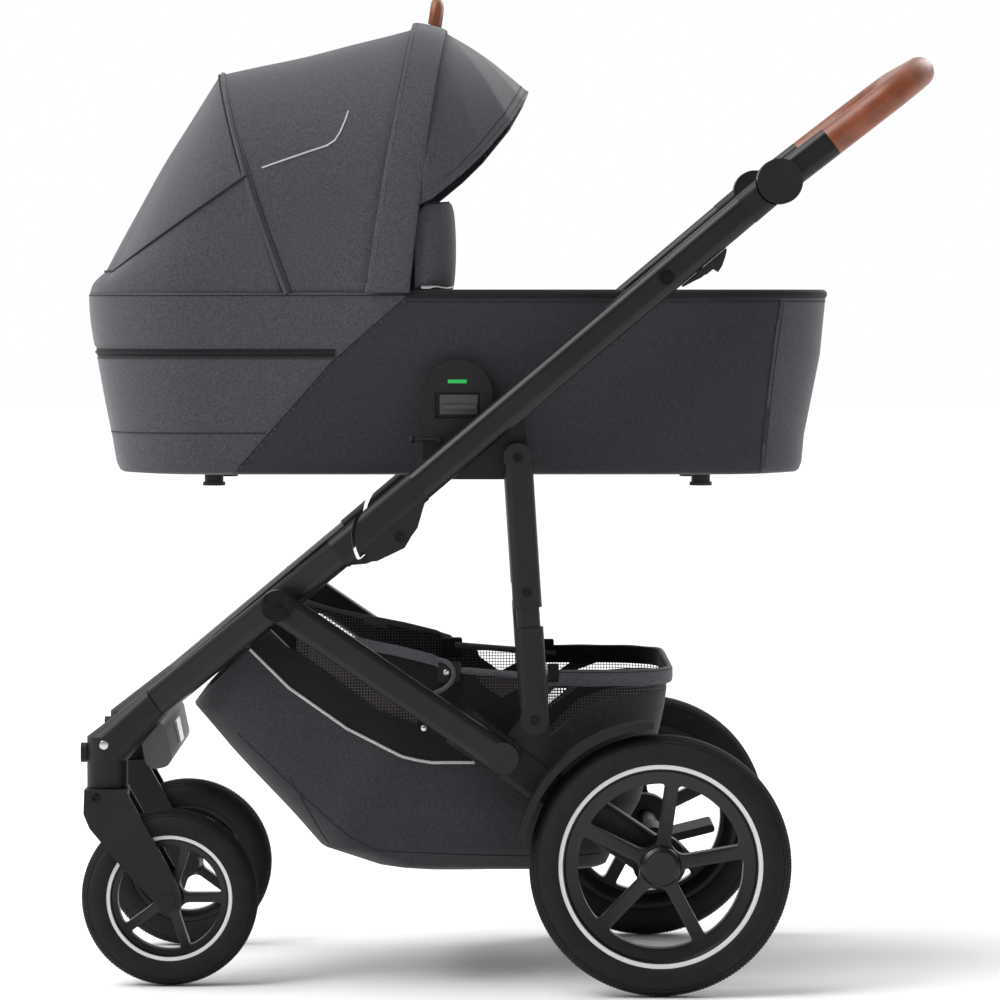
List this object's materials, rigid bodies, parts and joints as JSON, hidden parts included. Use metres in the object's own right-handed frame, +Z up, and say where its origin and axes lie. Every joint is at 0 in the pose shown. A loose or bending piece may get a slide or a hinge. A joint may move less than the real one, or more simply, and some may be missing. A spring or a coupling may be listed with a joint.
{
  "type": "baby stroller",
  "caption": "Folding four-wheel baby stroller with a lift-off hooded carrycot, a tilting leather-wrapped handlebar, swivelling front casters and a fabric shopping basket.",
  "frame": {"origin": "on the ground, under the middle of the stroller's bounding box", "axes": "+X from the front casters towards the handlebar, +Y to the right of the person who pushes, +Z up"},
  "size_m": [0.9514, 0.604, 1.1077],
  "materials": {
    "frame_tube": "satin black powder coat",
    "moulding": "matt black moulded nylon",
    "steel_black": "blackened",
    "axle_steel": "blackened satin",
    "rim_plastic": "satin",
    "tyre": "matt",
    "leather": "smooth, tan brown",
    "cot_fabric": "woven, charcoal grey",
    "rim_trim": "black binding",
    "basket_fabric": "smooth lining, plum black",
    "basket_rim_fabric": "padded, charcoal grey",
    "mattress_fabric": "quilted cotton, off-white",
    "reflector": "prismatic clear",
    "control_plastic": "fine texture"
  },
  "bodies": {
    "front_frame": {"front_leg_left": "frame_tube", "front_leg_right": "frame_tube", "fold_sockets": "moulding", "caster_housing_left": "moulding", "caster_housing_right": "moulding", "front_cross_brace": "moulding", "front_reflector": "reflector", "leg_hinge_pins": "steel_black", "fold_hinge_bolts": "steel_black", "basket": "basket_fabric", "basket_rim": "basket_rim_fabric"},
    "handle_frame": {"handle_tube_left": "frame_tube", "handle_tube_right": "frame_tube", "fold_knuckles": "moulding", "cot_receptacles": "moulding", "tilt_hubs": "moulding", "trigger_pins": "steel_black"},
    "handlebar": {"handlebar_frame": "frame_tube", "leather_grip": "leather", "hub_caps": "moulding"},
    "handle_button": {"handle_button": "control_plastic"},
    "fold_trigger_left": {"fold_trigger_left": "control_plastic"},
    "fold_trigger_right": {"fold_trigger_right": "control_plastic"},
    "rear_frame": {"rear_leg_left": "frame_tube", "rear_leg_right": "frame_tube", "rear_housing_left": "moulding", "rear_housing_right": "moulding", "fenders": "moulding", "rear_axle": "axle_steel"},
    "brake_pedal": {"brake_pedal": "control_plastic"},
    "strut": {"strut_tubes": "frame_tube", "strut_sleeves": "moulding", "strut_bolts": "steel_black"},
    "caster_left": {"fork_left": "moulding"},
    "caster_right": {"fork_right": "moulding"},
    "swivel_lock_left": {"swivel_lock_left": "control_plastic"},
    "swivel_lock_right": {"swivel_lock_right": "control_plastic"},
    "front_wheel_left": {"front_rim_left": "rim_plastic", "front_tyre_left": "tyre"},
    "front_wheel_right": {"front_rim_right": "rim_plastic", "front_tyre_right": "tyre"},
    "rear_wheel_left": {"rear_rim_left": "rim_plastic", "rear_tyre_left": "tyre", "hub_cover_left": "rim_plastic"},
    "rear_wheel_right": {"rear_rim_right": "rim_plastic", "rear_tyre_right": "tyre", "hub_cover_right": "rim_plastic"},
    "carrycot": {"cot_shell": "cot_fabric", "cot_rim": "rim_trim", "mattress": "mattress_fabric", "apron": "cot_fabric", "wind_guard": "cot_fabric", "canopy": "cot_fabric", "cot_adapters": "moulding", "cot_feet": "moulding"},
    "canopy_hoop": {"canopy_hoop": "cot_fabric", "carry_handle": "leather", "visor": "cot_fabric"},
    "release_lever_left": {"release_lever_left": "control_plastic"},
    "release_lever_right": {"release_lever_right": "control_plastic"}
  },
  "joints": [
    {"name": "fold", "type": "hinge", "parent": "front_frame", "child": "handle_frame", "pos_m": [-0.1169, 0, 0.5053], "axis": [0, 1, 0], "range_deg": [0, 140], "deforming": ["basket", "basket_rim"]},
    {"name": "rear_fold", "type": "hinge", "parent": "front_frame", "child": "rear_frame", "pos_m": [-0.2517, 0, 0.4302], "axis": [0, 1, 0], "range_deg": [0, 84.4]},
    {"name": "strut_fold", "type": "hinge", "parent": "rear_frame", "child": "strut", "pos_m": [0.0307, 0, 0.3038], "axis": [0, 1, 0], "range_deg": [-39.8, 0]},
    {"name": "handle_tilt", "type": "hinge", "parent": "handle_frame", "child": "handlebar", "pos_m": [0.29851, 0, 0.8951], "axis": [0, 1, 0], "range_deg": [-35, 55]},
    {"name": "handle_button_press", "type": "slide", "parent": "handlebar", "child": "handle_button", "axis": [-0.7912, 0, -0.6115], "range_m": [0, 0.002], "stiffness_N_per_m": 800, "springref_m": -0.002},
    {"name": "fold_trigger_left_pull", "type": "slide", "parent": "handle_frame", "child": "fold_trigger_left", "axis": [0.7638, 0, 0.6455], "range_m": [0, 0.012], "stiffness_N_per_m": 200, "springref_m": -0.005},
    {"name": "fold_trigger_right_pull", "type": "slide", "parent": "handle_frame", "child": "fold_trigger_right", "axis": [0.7638, 0, 0.6455], "range_m": [0, 0.012], "stiffness_N_per_m": 200, "springref_m": -0.005},
    {"name": "brake", "type": "hinge", "parent": "rear_frame", "child": "brake_pedal", "pos_m": [0.1685, 0, 0.145], "axis": [0, 1, 0], "range_deg": [0, 25]},
    {"name": "caster_swivel_left", "type": "hinge", "parent": "front_frame", "child": "caster_left", "pos_m": [-0.4453, -0.182, 0.25], "axis": [0, 0, 1], "continuous": true},
    {"name": "front_wheel_spin_left", "type": "hinge", "parent": "caster_left", "child": "front_wheel_left", "pos_m": [-0.3758, -0.182, 0.0993], "axis": [0, 1, 0], "continuous": true},
    {"name": "rear_wheel_spin_left", "type": "hinge", "parent": "rear_frame", "child": "rear_wheel_left", "pos_m": [0.1685, -0.277, 0.145], "axis": [0, 1, 0], "continuous": true},
    {"name": "swivel_lock_left_lift", "type": "slide", "parent": "front_frame", "child": "swivel_lock_left", "axis": [0, 0, 1], "range_m": [0, 0.005], "stiffness_N_per_m": 100, "springref_m": -0.003},
    {"name": "caster_swivel_right", "type": "hinge", "parent": "front_frame", "child": "caster_right", "pos_m": [-0.4453, 0.182, 0.25], "axis": [0, 0, -1], "continuous": true},
    {"name": "front_wheel_spin_right", "type": "hinge", "parent": "caster_right", "child": "front_wheel_right", "pos_m": [-0.3758, 0.182, 0.0993], "axis": [0, 1, 0], "continuous": true},
    {"name": "rear_wheel_spin_right", "type": "hinge", "parent": "rear_frame", "child": "rear_wheel_right", "pos_m": [0.1685, 0.277, 0.145], "axis": [0, 1, 0], "continuous": true},
    {"name": "swivel_lock_right_lift", "type": "slide", "parent": "front_frame", "child": "swivel_lock_right", "axis": [0, 0, 1], "range_m": [0, 0.005], "stiffness_N_per_m": 100, "springref_m": -0.003},
    {"name": "carrycot_lift", "type": "slide", "parent": "front_frame", "child": "carrycot", "axis": [0, 0, 1], "range_m": [0, 0.6]},
    {"name": "canopy_fold", "type": "hinge", "parent": "carrycot", "child": "canopy_hoop", "pos_m": [-0.133, 0, 0.752], "axis": [0, -1, 0], "range_deg": [0, 75], "deforming": ["canopy"]},
    {"name": "release_lever_left_lift", "type": "slide", "parent": "carrycot", "child": "release_lever_left", "axis": [0, 0, 1], "range_m": [0, 0.008], "stiffness_N_per_m": 200, "springref_m": -0.004},
    {"name": "release_lever_right_lift", "type": "slide", "parent": "carrycot", "child": "release_lever_right", "axis": [0, 0, 1], "range_m": [0, 0.008], "stiffness_N_per_m": 200, "springref_m": -0.004}
  ],
  "couplings": [
    {"joint": "rear_fold", "follows": "fold", "ratio": 0.6014},
    {"joint": "strut_fold", "follows": "fold", "ratio": -0.283}
  ]
}
